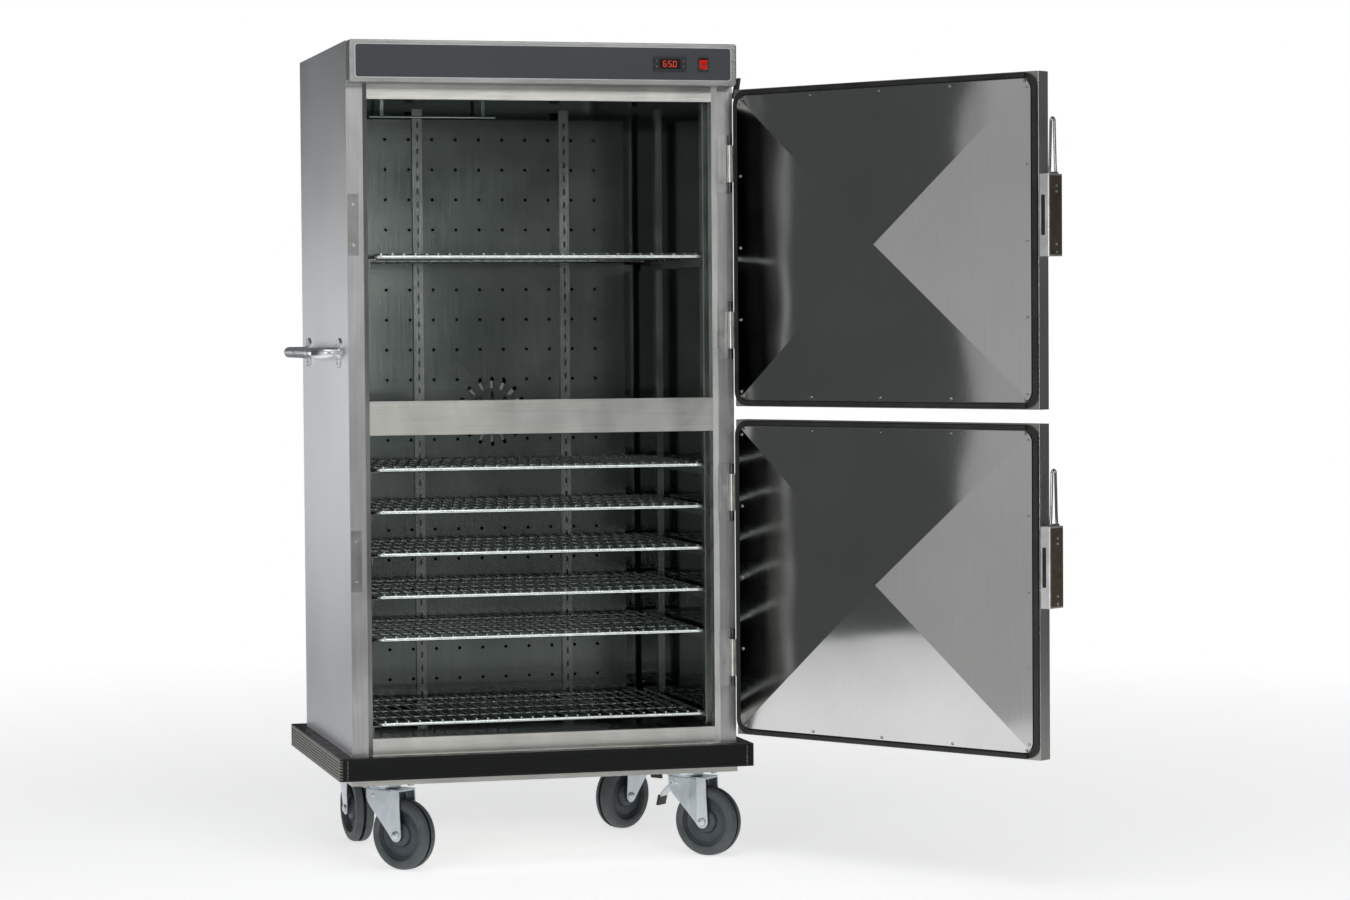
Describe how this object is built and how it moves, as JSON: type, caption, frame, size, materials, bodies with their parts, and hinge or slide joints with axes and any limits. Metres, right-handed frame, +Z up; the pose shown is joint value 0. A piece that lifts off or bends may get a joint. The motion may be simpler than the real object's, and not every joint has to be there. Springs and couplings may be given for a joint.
{
  "type": "food holding cabinet",
  "caption": "Upright insulated stainless food holding cabinet on casters, with two half-height hinged doors, wire shelves, a control fascia, a push handle and a bumper base.",
  "frame": {"origin": "on the floor, under the centre of the insulated body's footprint", "axes": "+Z up, +X towards the hinge side, -Y towards the person who opens the doors"},
  "size_m": [1.4866, 1.4357, 1.861],
  "materials": {
    "stainless_satin": "satin brushed stainless sheet",
    "stainless_mirror": "mirror polished stainless sheet",
    "insulation_foam": "rigid foam",
    "overlay_grey": "fine textured film",
    "control_black": "moulded, lightly textured",
    "rocker_red": "glossy translucent",
    "fan_metal": "galvanised",
    "chrome_wire": "bright plated wire",
    "latch_chrome": "bright plated casting",
    "gasket_rubber": "soft black profile",
    "bumper_black": "ribbed extrusion",
    "zinc_plated": "bright zinc plated",
    "wheel_grey": "non-marking grey tread",
    "pedal_black": "moulded pad"
  },
  "bodies": {
    "cabinet": {"outer_panels": "stainless_satin", "front_frame": "stainless_satin", "cabinet_liner": "stainless_mirror", "wall_insulation": "insulation_foam", "fascia_housing": "stainless_satin", "fascia_overlay": "overlay_grey", "control_bezels": "control_black", "shelf_supports": "stainless_satin", "air_duct_panel": "stainless_satin", "fan_heater_unit": "fan_metal", "sensor_probe": "chrome_wire", "push_handle": "stainless_satin", "cable_hook": "control_black", "power_inlet": "control_black", "strike_plates": "stainless_satin", "hinge_frame_halves": "latch_chrome", "base_chassis": "stainless_satin", "bumper": "bumper_black", "caster_plates": "zinc_plated", "cabinet_screws": "stainless_satin"},
    "lower_door": {"lower_door_skin": "stainless_satin", "lower_door_insulation": "insulation_foam", "lower_door_liner": "stainless_mirror", "lower_door_screws": "stainless_satin", "lower_door_gasket": "gasket_rubber", "lower_hinge_leaves": "latch_chrome", "lower_latch_body": "latch_chrome"},
    "lower_lever": {"lower_latch_lever": "latch_chrome"},
    "upper_door": {"upper_door_skin": "stainless_satin", "upper_door_insulation": "insulation_foam", "upper_door_liner": "stainless_mirror", "upper_door_screws": "stainless_satin", "upper_door_gasket": "gasket_rubber", "upper_hinge_leaves": "latch_chrome", "upper_latch_body": "latch_chrome"},
    "upper_lever": {"upper_latch_lever": "latch_chrome"},
    "front_left_swivel": {"front_left_caster_fork": "zinc_plated"},
    "front_left_wheel_body": {"front_left_wheel": "wheel_grey"},
    "front_right_swivel": {"front_right_caster_fork": "zinc_plated"},
    "front_right_wheel_body": {"front_right_wheel": "wheel_grey"},
    "rear_left_swivel": {"rear_left_caster_fork": "zinc_plated"},
    "rear_left_wheel_body": {"rear_left_wheel": "wheel_grey"},
    "rear_right_swivel": {"rear_right_caster_fork": "zinc_plated"},
    "rear_right_wheel_body": {"rear_right_wheel": "wheel_grey"},
    "front_right_pedal": {"front_right_brake_pedal": "pedal_black"},
    "rear_right_pedal": {"rear_right_brake_pedal": "pedal_black"},
    "rocker": {"rocker_switch": "rocker_red"},
    "set_key_body": {"set_key": "control_black"},
    "up_key_body": {"up_key": "control_black"},
    "defrost_key_body": {"defrost_key": "control_black"},
    "down_key_body": {"down_key": "control_black"},
    "shelf_1": {"wire_shelf_1": "chrome_wire"},
    "shelf_2": {"wire_shelf_2": "chrome_wire"},
    "shelf_3": {"wire_shelf_3": "chrome_wire"},
    "shelf_4": {"wire_shelf_4": "chrome_wire"},
    "shelf_5": {"wire_shelf_5": "chrome_wire"},
    "shelf_6": {"wire_shelf_6": "chrome_wire"},
    "shelf_7": {"wire_shelf_7": "chrome_wire"},
    "shelf_8": {"wire_shelf_8": "chrome_wire"},
    "impeller": {"fan_impeller": "fan_metal"}
  },
  "joints": [
    {"name": "lower_door_hinge", "type": "hinge", "parent": "cabinet", "child": "lower_door", "pos_m": [0.436, -0.344, 0.649], "axis": [0, 0, 1], "range_deg": [-125, 55]},
    {"name": "lower_latch_pivot", "type": "hinge", "parent": "lower_door", "child": "lower_lever", "pos_m": [0.95483, -1.0379, 0.7765], "axis": [-0.5736, 0.8192, 0], "range_deg": [0, 25], "stiffness_Nm_per_rad": 0.6, "springref_deg": -8.59},
    {"name": "upper_door_hinge", "type": "hinge", "parent": "cabinet", "child": "upper_door", "pos_m": [0.436, -0.344, 1.399], "axis": [0, 0, 1], "range_deg": [-125, 55]},
    {"name": "upper_latch_pivot", "type": "hinge", "parent": "upper_door", "child": "upper_lever", "pos_m": [0.95483, -1.0379, 1.5265], "axis": [-0.5736, 0.8192, 0], "range_deg": [0, 25], "stiffness_Nm_per_rad": 0.6, "springref_deg": -8.59},
    {"name": "front_left_swivel_turn", "type": "hinge", "parent": "cabinet", "child": "front_left_swivel", "pos_m": [-0.355, -0.235, 0.185], "axis": [0, 0, 1], "continuous": true},
    {"name": "front_left_wheel_roll", "type": "hinge", "parent": "front_left_swivel", "child": "front_left_wheel_body", "pos_m": [-0.31965, -0.27713, 0.08], "axis": [0.766, 0.6428, 0], "continuous": true},
    {"name": "front_right_swivel_turn", "type": "hinge", "parent": "cabinet", "child": "front_right_swivel", "pos_m": [0.355, -0.235, 0.185], "axis": [0, 0, 1], "continuous": true},
    {"name": "front_right_wheel_roll", "type": "hinge", "parent": "front_right_swivel", "child": "front_right_wheel_body", "pos_m": [0.39389, -0.27389, 0.08], "axis": [0.7071, 0.7071, 0], "continuous": true},
    {"name": "rear_left_swivel_turn", "type": "hinge", "parent": "cabinet", "child": "rear_left_swivel", "pos_m": [-0.355, 0.245, 0.185], "axis": [0, 0, 1], "continuous": true},
    {"name": "rear_left_wheel_roll", "type": "hinge", "parent": "rear_left_swivel", "child": "rear_left_wheel_body", "pos_m": [-0.3483, 0.19041, 0.08], "axis": [0.9925, 0.1219, 0], "continuous": true},
    {"name": "rear_right_swivel_turn", "type": "hinge", "parent": "cabinet", "child": "rear_right_swivel", "pos_m": [0.355, 0.245, 0.185], "axis": [0, 0, 1], "continuous": true},
    {"name": "rear_right_wheel_roll", "type": "hinge", "parent": "rear_right_swivel", "child": "rear_right_wheel_body", "pos_m": [0.3094, 0.21424, 0.08], "axis": [0.5592, -0.829, 0], "continuous": true},
    {"name": "front_right_brake_press", "type": "hinge", "parent": "front_right_swivel", "child": "front_right_pedal", "pos_m": [0.33166, -0.21166, 0.166], "axis": [-0.7071, -0.7071, 0], "range_deg": [0, 14]},
    {"name": "rear_right_brake_press", "type": "hinge", "parent": "rear_right_swivel", "child": "rear_right_pedal", "pos_m": [0.38236, 0.26345, 0.166], "axis": [-0.5592, 0.829, 0], "range_deg": [0, 14]},
    {"name": "rocker_tilt", "type": "hinge", "parent": "cabinet", "child": "rocker", "pos_m": [0.3655, -0.3742, 1.8145], "axis": [1, 0, 0], "range_deg": [-18, 0]},
    {"name": "set_key_press", "type": "slide", "parent": "cabinet", "child": "set_key_body", "axis": [0, 1, 0], "range_m": [0, 0.0008], "stiffness_N_per_m": 400, "springref_m": -0.0004},
    {"name": "up_key_press", "type": "slide", "parent": "cabinet", "child": "up_key_body", "axis": [0, 1, 0], "range_m": [0, 0.0008], "stiffness_N_per_m": 400, "springref_m": -0.0004},
    {"name": "defrost_key_press", "type": "slide", "parent": "cabinet", "child": "defrost_key_body", "axis": [0, 1, 0], "range_m": [0, 0.0008], "stiffness_N_per_m": 400, "springref_m": -0.0004},
    {"name": "down_key_press", "type": "slide", "parent": "cabinet", "child": "down_key_body", "axis": [0, 1, 0], "range_m": [0, 0.0008], "stiffness_N_per_m": 400, "springref_m": -0.0004},
    {"name": "shelf_1_slide", "type": "slide", "parent": "cabinet", "child": "shelf_1", "axis": [0, -1, 0], "range_m": [0, 0.45]},
    {"name": "shelf_2_slide", "type": "slide", "parent": "cabinet", "child": "shelf_2", "axis": [0, -1, 0], "range_m": [0, 0.45]},
    {"name": "shelf_3_slide", "type": "slide", "parent": "cabinet", "child": "shelf_3", "axis": [0, -1, 0], "range_m": [0, 0.45]},
    {"name": "shelf_4_slide", "type": "slide", "parent": "cabinet", "child": "shelf_4", "axis": [0, -1, 0], "range_m": [0, 0.45]},
    {"name": "shelf_5_slide", "type": "slide", "parent": "cabinet", "child": "shelf_5", "axis": [0, -1, 0], "range_m": [0, 0.45]},
    {"name": "shelf_6_slide", "type": "slide", "parent": "cabinet", "child": "shelf_6", "axis": [0, -1, 0], "range_m": [0, 0.45]},
    {"name": "shelf_7_lift", "type": "slide", "parent": "cabinet", "child": "shelf_7", "axis": [0, 0, 1], "range_m": [0, 0.04]},
    {"name": "shelf_8_slide", "type": "slide", "parent": "cabinet", "child": "shelf_8", "axis": [0, -1, 0], "range_m": [0, 0.45]},
    {"name": "fan_spin", "type": "hinge", "parent": "cabinet", "child": "impeller", "pos_m": [0, 0.266, 1.02], "axis": [0, 1, 0], "continuous": true}
  ]
}
